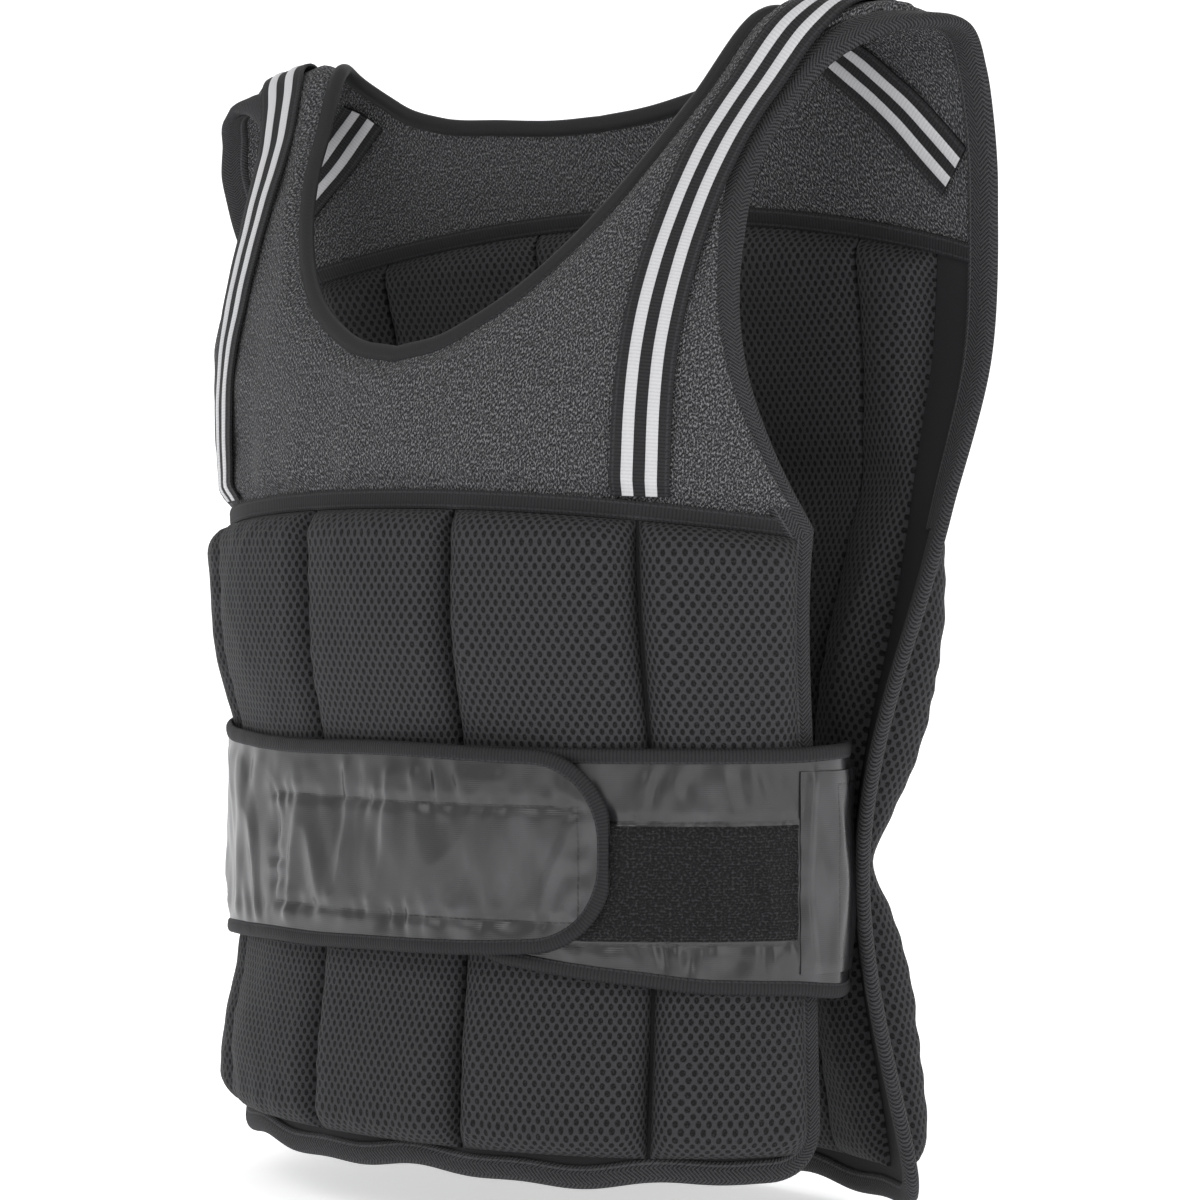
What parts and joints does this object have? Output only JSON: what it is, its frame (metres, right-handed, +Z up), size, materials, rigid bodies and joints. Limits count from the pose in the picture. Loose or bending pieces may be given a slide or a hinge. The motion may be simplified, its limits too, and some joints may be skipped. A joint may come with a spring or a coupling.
{
  "type": "weighted vest",
  "caption": "Padded pull-over training vest with columns of weight pockets, mesh pads on the back, a denim yoke with reflective shoulder tapes, and a waist belt with hook and loop closure",
  "frame": {"origin": "The middle of the line over both shoulders, where the vest sits on its wearer, at the height of the shoulder tops.", "axes": "The front faces -Y, the back +Y, up is +Z, and the wearer's left is +X. The vest hangs below the origin."},
  "size_m": [0.4314, 0.2236, 0.5424],
  "materials": {
    "lining": "smooth black woven lining cloth",
    "denim": "matte heather dark grey denim twill",
    "air_mesh": "matte black spacer mesh with fine holes",
    "neck_binding": "smooth matte black rolled binding",
    "twill_binding": "matte dark grey herringbone twill",
    "tape": "ribbed black grosgrain",
    "reflective": "silver white reflective film",
    "satin": "slightly shiny grey satin nylon",
    "loop": "fuzzy black hook and loop"
  },
  "bodies": {
    "root": {"front_panel": "lining", "back_panel": "lining", "front_yoke": "denim", "back_yoke": "denim", "front_pocket_upper_1": "air_mesh", "front_pocket_upper_2": "air_mesh", "front_pocket_upper_3": "air_mesh", "front_pocket_upper_4": "air_mesh", "front_pocket_upper_5": "air_mesh", "front_pocket_lower_1": "air_mesh", "front_pocket_lower_2": "air_mesh", "front_pocket_lower_3": "air_mesh", "front_pocket_lower_4": "air_mesh", "front_pocket_lower_5": "air_mesh", "back_pad_outer_1": "air_mesh", "back_pad_outer_2": "air_mesh", "back_pad_outer_3": "air_mesh", "back_pad_outer_4": "air_mesh", "back_pad_outer_5": "air_mesh", "back_pad_inner_1": "air_mesh", "back_pad_inner_2": "air_mesh", "back_pad_inner_3": "air_mesh", "back_pad_inner_4": "air_mesh", "back_pad_inner_5": "air_mesh", "neck_binding": "neck_binding", "armhole_binding_left": "twill_binding", "armhole_binding_right": "twill_binding", "front_edge_binding": "twill_binding", "back_edge_binding": "twill_binding", "belt_left_binding": "twill_binding", "belt_right_binding": "twill_binding", "front_seam_tape": "tape", "back_seam_tape_outer": "tape", "back_seam_tape_inner": "tape", "shoulder_tape_left": "tape", "shoulder_tape_right": "tape", "inside_tape_left": "tape", "inside_tape_right": "tape", "shoulder_stripe_left_inner": "reflective", "shoulder_stripe_left_outer": "reflective", "shoulder_stripe_right_inner": "reflective", "shoulder_stripe_right_outer": "reflective", "inside_stripe_left_inner": "reflective", "inside_stripe_left_outer": "reflective", "inside_stripe_right_inner": "reflective", "inside_stripe_right_outer": "reflective", "belt_left": "satin", "belt_right": "satin", "belt_anchor_left": "satin", "belt_anchor_right": "satin", "loop_patch": "loop", "hook_patch": "loop"}
  },
  "joints": []
}
